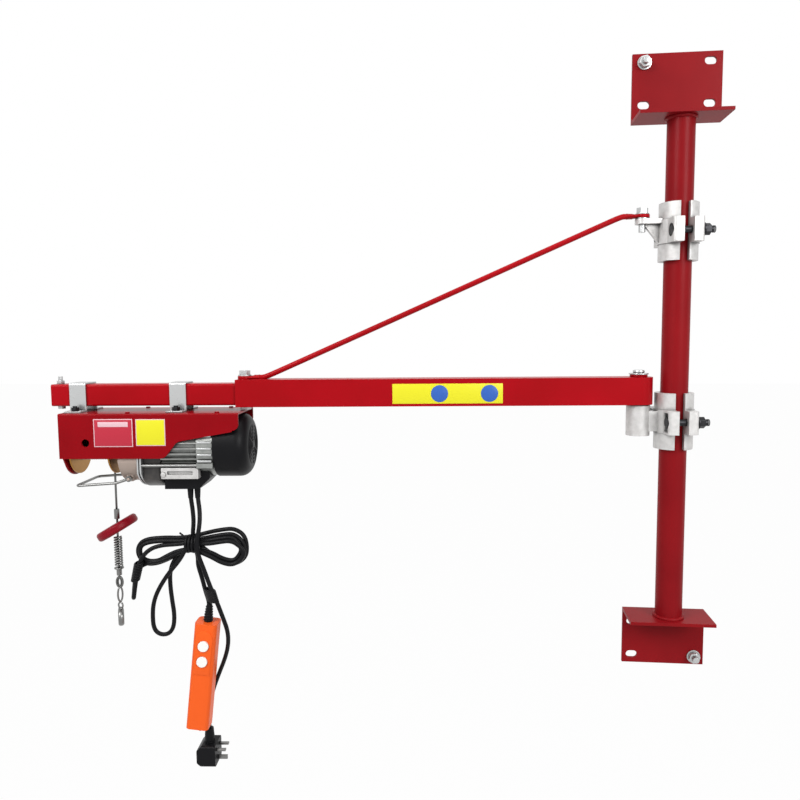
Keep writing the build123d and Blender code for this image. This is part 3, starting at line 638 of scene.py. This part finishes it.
def hoist_labels():
    """Two blank labels on the hoist frame's front."""
    for name, distance, z, width, height, colour in (("left", 224, 412.6, 70, 50, "red card"),
                                                     ("right", 157, 413.2, 53, 48, "yellow card")):
        rim = cuboid((width, 0.4, height), hoist_x - distance, -60.2, z, 0.15)
        placed(rim, f"hoist_label_{name}_rim", "pale card", "arm")
        face = cuboid((width - 3, 0.4, height - 3), hoist_x - distance, -60.5, z, 0.15)
        placed(face, f"hoist_label_{name}", colour, "arm")
    bar = cuboid((54, 0.4, 9), hoist_x - 224, -60.8, 428, 0.15)
    placed(bar, "hoist_label_bar", "pale card", "arm")


def top_plate_rivets():
    heads = [cylinder(4.2, 2.4, hoist_x - d, y, 448, chamfer=1) for d in (201, 40) for y in (-50, 50)]
    placed(joined(heads, "top_plate_rivets"), "top_plate_rivets", "hoist_red", "arm")


def bell_ribs():
    """Short ribs along the flat sides of the end bell."""
    ribs = []
    for side in (-1, 1):
        for index in range(7):
            z = 349 + index * 11.3
            if abs(abs(z - 383) - 31) > 5:
                ribs.append(cuboid((26, 2.4, 3.6), hoist_x - 63.5, side * 56.6, z, 0.8))
    placed(joined(ribs, "end_bell_ribs"), "end_bell_ribs", "zinc_steel", "arm")


def cover_grille():
    """Rings and spokes over the air inlet in the fan cover's end."""
    end = hoist_x + 12
    bars = [ring(r, 1.0, end, 0, 383, "X", 64, 8) for r in (10, 16.5, 23, 29.5, 36)]
    for index in range(6):
        spoke = cuboid((1.8, 2.2, 30), 0, 0, 22, 0.4)
        around_axis = Matrix.Rotation(index * math.pi / 3, 4, "X")
        spoke.matrix_world = Matrix.Translation((end * mm, 0, 383 * mm)) @ around_axis @ spoke.matrix_world
        settle(spoke)
        bars.append(spoke)
    bars.append(cylinder(8, 2.4, end, 0, 383, "X"))
    placed(joined(bars, "fan_cover_grille"), "fan_cover_grille", "black_plastic", "arm")


def frame_corners():
    """Rounds the lower right corners of the frame's two flanges."""
    tool = cuboid((13, 140, 16), hoist_x - 5.5, 0, 419, 0)
    cut(tool, cylinder(11, 150, hoist_x - 11, 0, 427, "Y", chamfer=0))
    tool.matrix_world = swing @ tool.matrix_world
    cut(hoist_frame, tool)
    smooth(hoist_frame, 32)
    modify(hoist_frame, "WEIGHTED_NORMAL", keep_sharp=True)


def rope_loop():
    """The rope's end laid round its thimble, and the long link below it."""
    rope = loop(9.2, 13.6, 3.3, rope_x, rope_y, 111.5)
    lining = loop(5, 9.4, 2.2, rope_x, rope_y, 111.5)
    made = placed(joined([rope, lining], "rope_loop"), "rope_loop", "rope_steel", body_of["rope_thimble"])
    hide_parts("rope_thimble")
    link = loop(8.2, 17.2, 3.1, rope_x, rope_y, 87, math.radians(58))
    placed(link, "hook_link_round", "bright_steel", body_of["hook_link"])
    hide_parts("hook_link")


def hook():
    """The hook: an open round bend with a forged eye over it."""
    turn = math.radians(113)
    clear()
    bpy.ops.mesh.primitive_circle_add(vertices=20, radius=1, location=(13.5 * mm, 0, 0),
                                      rotation=turned_to["Y"])
    bend = bpy.context.object
    bend.scale = (3.7 * mm, 5.4 * mm, 1)
    settle(bend)
    modify(bend, "SCREW", angle=math.radians(300), steps=48, render_steps=48, use_smooth_shade=True)
    bpy.ops.object.mode_set(mode="EDIT")
    bpy.ops.mesh.select_all(action="SELECT")
    bpy.ops.mesh.fill_holes(sides=0)
    bpy.ops.mesh.normals_make_consistent(inside=False)
    bpy.ops.object.mode_set(mode="OBJECT")
    bend.rotation_euler = (math.pi / 2, math.radians(-72), 0)
    settle(bend)
    bend.rotation_euler.z = turn
    bend.location = (rope_x * mm, rope_y * mm, 42 * mm)
    smooth(bend, 60)
    neck = cylinder(4.6, 8, rope_x, rope_y, 57, chamfer=1)
    eye = loop(8, 8.5, 2.8, rope_x, rope_y, 65, math.radians(-20))
    made = placed(joined([bend, neck, eye], "load_hook_forged"), "load_hook_forged", "bright_steel",
                  body_of["load_hook"])
    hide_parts("load_hook")


def rope_fall():
    """The rope from the drum to its sleeve."""
    clear()
    bpy.ops.mesh.primitive_cylinder_add(radius=2 * mm, depth=119 * mm, vertices=16,
                                        location=(rope_x * mm, rope_y * mm, 314.5 * mm))
    rope = bpy.context.object
    rope.name = "rope_fall"
    modify(rope, "BEVEL", width=0.2 * mm, segments=1, limit_method="ANGLE", angle_limit=math.radians(60))
    rope.matrix_world = swing @ rope.matrix_world
    settle(rope)
    wear(rope, slot_of["hoist_rope"])
    smooth(rope, 60)
    on_arm(rope_x, rope_y, 374)
    on_arm(rope_x, rope_y, 255)
    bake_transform(rope)
    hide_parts("hoist_rope")


frame_corners()
rope_fall()
rope_loop()
hook()
foot_groove()
wound_drum()
spring()
hoist_labels()
top_plate_rivets()
bell_ribs()
cover_grille()

# Pendant
pendant_place = swing @ Matrix.Translation(((hoist_x - 76) * mm, -0.022, 0.052)) @ Matrix.Rotation(
    math.radians(6.5), 4, "Y")


def on_pendant(obj, name, material, body="arm"):
    """Puts a piece that was made round the pendant's top on the pendant."""
    obj.matrix_world = pendant_place @ obj.matrix_world
    return placed(obj, name, material, body, False)


def button_panel():
    """A slightly raised field with a round top round the two buttons."""
    panel = cuboid((31, 1.6, 70), 0, -19.2, -62, 0.3)
    top = cylinder(15.5, 1.6, 0, -19.2, -27, "Y", chamfer=0.3)
    modify(panel, "BOOLEAN", object=top, operation="UNION", solver="EXACT")
    only(top)
    bpy.ops.object.delete()
    for z in (-41, -71):
        cut(panel, cylinder(10.7, 6, 0, -19.2, z, "Y", chamfer=0))
    smooth(panel, 40)
    on_pendant(panel, "pendant_button_panel", "orange_plastic")
    nub = cylinder(3, 8, 4.6, -8, -207, chamfer=1)
    on_pendant(nub, "pendant_nub", "grey_paint")


def button_marks():
    """A plain arrow on each button."""
    for node, z, turn in (("pendant_up_button", -41, 0), ("pendant_down_button", -71, math.pi)):
        mark = cylinder(2.6, 0.3, 0, 0, 0, "Y", sides=3, chamfer=0)
        mark.rotation_euler.y += turn
        mark.location = (0, -23.1 * mm, z * mm)
        on_pendant(mark, f"{node}_mark", "button mark", body_of[node])


def boot_ribs():
    """Round ribs down the cord's boot."""
    ribs = [ring(8.2 - 0.088 * z, 1.1, 0, 0, z, around=40, across=10) for z in (3, 8, 13, 18, 23, 28)]
    on_pendant(joined(ribs, "boot_ribs"), "boot_ribs", "black_rubber")


def cord_sleeve():
    """The wrapping that holds both cords together over the boot."""
    bands = []
    for index in range(7):
        band = ring(1, 0.16, 0, 0, 0, around=48, across=10)
        band.scale = (14, 6.6, 12)
        band.rotation_euler = (0, 0.08, -0.66)
        band.location = ((hoist_x - 69 + index * 0.9) * mm, -29.5 * mm, (114 - index * 3.2) * mm)
        settle(band)
        bands.append(band)
    placed(joined(bands, "cord_sleeve"), "cord_sleeve", "black_rubber", "arm")


button_panel()
button_marks()
boot_ribs()
cord_sleeve()

# Cords. The points are the solids' own; the hank's turns are worked out below
cord_d = 8 * mm


def hank_right(far, low, high, y):
    """One loop to the right of the tie: out along the bottom and back along the top."""
    middle = (low + high) / 2
    return [(66, y, low + 17), (44, y, low + 4), (23, y, low), (far + 3, y, low + 13),
            (far, y, middle), (far + 5, y, high - 12), (25, y, high), (46, y, high - 2), (68, y, high - 6)]


def hank_left(far, low, high, y):
    """One loop to the left of the tie: out along the top and back along the bottom."""
    middle = (low + high) / 2
    return [(128, y, high), (154, y, high + 1), (far - 14, y, high - 2), (far, y, middle + 9),
            (far, y, middle - 9), (far - 14, y, low), (far - 34, y, low + 1), (154, y, low + 8),
            (130, y, low + 20)]


upper_lead = [(101, -22, 300), (101, -22, 286), (98, -22, 263), (97, -22, 240), (100, -22, 216)]
fold = [(128, -23, 199), (156, -24, 198), (178, -26, 192), (194, -28, 177), (202, -30, 155), (206, -30, 132),
        (209, -30, 115), (211, -30, 102), (213.5, -25, 97), (216.5, -18.5, 97), (217.5, -13.5, 102),
        (216, -14, 115), (213, -15, 134), (206, -17, 152), (188, -21, 163), (158, -22, 167), (130, -22, 182)]
drop_loop = [(110, -32, 194), (122, -32, 172), (145, -31, 146), (166, -29, 114), (176, -28, 88),
             (179, -26, 62), (178, -25, 38), (168, -23, 26), (152, -22, 26), (142, -21, 38), (140, -19, 62),
             (144, -18, 91), (147, -17, 120), (146, -18, 146), (138, -18, 168)]
lower_lead = [(124, -17, 180), (110, -17, 192), (96, -19, 190), (91, -22, 174), (92, -22, 160), (84, -24, 135),
              (79, -23, 110), (72, -22, 86), (74, -22, 68)]
pendant_route = (upper_lead + [(97, -17, 203)]
                 + hank_right(1, 158, 226, -12) + [(98, -12, 212)]
                 + hank_left(207, 158, 208, -12) + [(98, -18, 193)]
                 + hank_right(4, 160, 218, -19) + [(98, -20, 206)]
                 + hank_left(200, 166, 204, -20) + [(98, -24, 192)]
                 + hank_right(9, 168, 213, -25) + [(98, -25, 204)] + fold + [(98, -30, 192)]
                 + hank_right(3, 162, 208, -31) + [(98, -31, 203)] + drop_loop + lower_lead)
mains_route = [(88, -22, 300), (88, -22, 286), (84, -26, 265), (82, -34, 243), (85, -39, 220), (87, -39.5, 195),
               (84, -38.5, 178), (76, -37, 155), (67, -36.5, 126), (55, -36, 95), (45, -33, 63), (38, -27, 34),
               (40, -19, 4), (50, -9, -27), (63, 1, -56), (76, 4, -88), (85, 4, -118), (88, 4, -146),
               (88, 4, -172), (88, 4, -184)]


def cord_curve(name, route):
    """A smooth round cord along a route of control points."""
    made = smooth_bar(name, [on_hoist(*place) for place in route], cord_d / 2, 5, 12)
    wear(made, "black_rubber")
    return made


def route_length(route):
    """Length of the smooth line over the control points."""
    total = 0.0
    places = [on_hoist(*point) for point in route]
    middles = [(a + b) / 2 for a, b in zip(places, places[1:])]
    middles = [places[0]] + middles[1:-1] + [places[-1]]
    for start, corner, end in zip(middles, places[1:-1], middles[1:]):
        before = start
        for step in range(1, 25):
            t = step / 24
            here = start * (1 - t) ** 2 + corner * 2 * t * (1 - t) + end * t ** 2
            total += (here - before).length
            before = here
    return total


pendant_cord = cord_curve("pendant_cord", pendant_route)
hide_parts("pendant_lead_upper", "cord_hank_left", "cord_hank_right", "cord_drop_loop",
            "pendant_lead_lower")
mains_cord = cord_curve("mains_cord", mains_route)
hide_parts("mains_lead")
for piece in (pendant_cord, mains_cord):
    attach(piece, "arm")


def cord_knot():
    """Several turns of the tie round the bundle, with a short free tail."""
    turns = []
    for index in range(5):
        x = -98 + (index - 2) * 4.6
        wrap = ring(15, 2.4, hoist_x + x, -22, 200 + (index % 2), "X", 40, 10)
        wrap.scale = (1, 0.92, 1.06)
        wrap.rotation_euler.z += 0.12 * (index - 2)
        turns.append(wrap)
    tail = cylinder(1.6, 16, hoist_x - 114, -34, 219, "X", sides=12)
    tail.rotation_euler.y += 0.7
    turns.append(tail)
    core = cylinder(13, 22, hoist_x - 98, -22, 200, "X", chamfer=3)
    turns.append(core)
    knot = placed(joined(turns, "cord_knot"), "cord_knot", "black_rubber", "arm")
    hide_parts("cord_tie")
    return knot


def fold_wrap():
    """Tape wound round both strands of the fold."""
    turns = []
    for index in range(11):
        t = index / 10
        band = ring(1, 0.17, 0, 0, 0, around=40, across=8)
        band.scale = (8.4 - t, 12.5, 9)
        band.rotation_euler = (0, -0.3 + 0.15 * t, 0.38)
        band.location = ((hoist_x - 201.5 - 8 * t) * mm, (-24 + t) * mm, (164 - 32 * t) * mm)
        settle(band)
        turns.append(band)
    return placed(joined(turns, "fold_wrap"), "fold_wrap", "black_rubber", "arm")


wrap = fold_wrap()
knot = cord_knot()
tuple(on_hoist(*pendant_route[0]))
round(route_length(pendant_route), 3)
tuple(on_hoist(*mains_route[0]))
round(route_length(mains_route), 3)

# Plain solids wear their slot's finish
for node, obj in frame["nodes"].items():
    obj.data.materials.clear()
    obj.data.materials.append(materials[slot_of[node]])

# Camera, light and background
camera_place = (-0.36666, -1.37980, 0.57906)
camera_yaw, camera_pitch, camera_roll = 0.1017, 0.0881, -0.0072
picture_width = 800
focal_pixels = 711.49
clear()
bpy.ops.object.camera_add()
camera = bpy.context.object
camera.name = "camera"
camera.matrix_world = (Matrix.Translation(camera_place) @ Matrix.Rotation(camera_yaw, 4, "Z")
                       @ Matrix.Rotation(math.pi / 2 - camera_pitch, 4, "X")
                       @ Matrix.Rotation(camera_roll, 4, "Z"))
camera.data.sensor_width = 36
camera.data.lens = 36 * focal_pixels / picture_width
camera.data.clip_start = 0.05
scene = bpy.context.scene
scene.camera = camera


def lamp(name, place, aim, size, power):
    """A soft rectangular lamp that faces a point."""
    bpy.ops.object.light_add(type="AREA", location=place)
    made = bpy.context.object
    made.name = name
    made.data.size = size
    made.data.energy = power
    made.rotation_euler = (Vector(aim) - Vector(place)).to_track_quat("-Z", "Y").to_euler()
    return made


middle = (-0.45, -0.05, 0.45)
lamps = [lamp("window_left", (-2.2, -2.2, 2.2), middle, 1.6, 62),
         lamp("window_right", (1.6, -2.4, 1.6), middle, 1.4, 56),
         lamp("top_light", (-0.4, -0.6, 3.0), middle, 2.0, 20)]
world = bpy.data.worlds.new("white studio")
scene.world = world
world.use_nodes = True
sky = world.node_tree
ground = sky.nodes["Background"]
ground.inputs["Color"].default_value = (1, 1, 1, 1)


def seen_directly(tree):
    """1 for what the camera, a mirror or a clear piece sees, 0 for the light on the object."""
    paths = tree.nodes.new("ShaderNodeLightPath").outputs
    camera_ray, glossy_ray, clear_ray = (Socket(tree, paths[f"Is {kind} Ray"])
                                         for kind in ("Camera", "Glossy", "Transmission"))
    return camera_ray.math("MAXIMUM", glossy_ray).math("MAXIMUM", clear_ray)


aim = Socket(sky, sky.nodes.new("ShaderNodeTexCoord").outputs["Generated"])
height = aim.node("ShaderNodeSeparateXYZ", {0: aim}).pick(2)
glow = height.ramp(-0.3, 0.9) * 0.62 + 0.12
plug(sky, ground.inputs["Strength"], seen_directly(sky).math("MAXIMUM", glow))


def pale_floor():
    """A wide white floor, at the end of the hook's way down, that takes a faint shadow."""
    floor_z = -1.48
    clear()
    bpy.ops.mesh.primitive_plane_add(size=60, location=(0, 0, floor_z))
    made = bpy.context.object
    made.name = "floor"
    white = bpy.data.materials.new("floor white")
    white.use_nodes = True
    tree = white.node_tree
    shader = tree.nodes["Principled BSDF"]
    shader.inputs["Base Color"].default_value = (0.7, 0.7, 0.7, 1)
    shader.inputs["Roughness"].default_value = 0.9
    glow = tree.nodes.new("ShaderNodeEmission")
    blend = tree.nodes.new("ShaderNodeMixShader")
    plug(tree, blend.inputs["Fac"], seen_directly(tree) * 0.97)
    tree.links.new(shader.outputs[0], blend.inputs[1])
    tree.links.new(glow.outputs[0], blend.inputs[2])
    tree.links.new(blend.outputs[0], tree.nodes["Material Output"].inputs["Surface"])
    made.data.materials.append(white)
    return made


floor = pale_floor()

scene.view_settings.view_transform = "Standard"
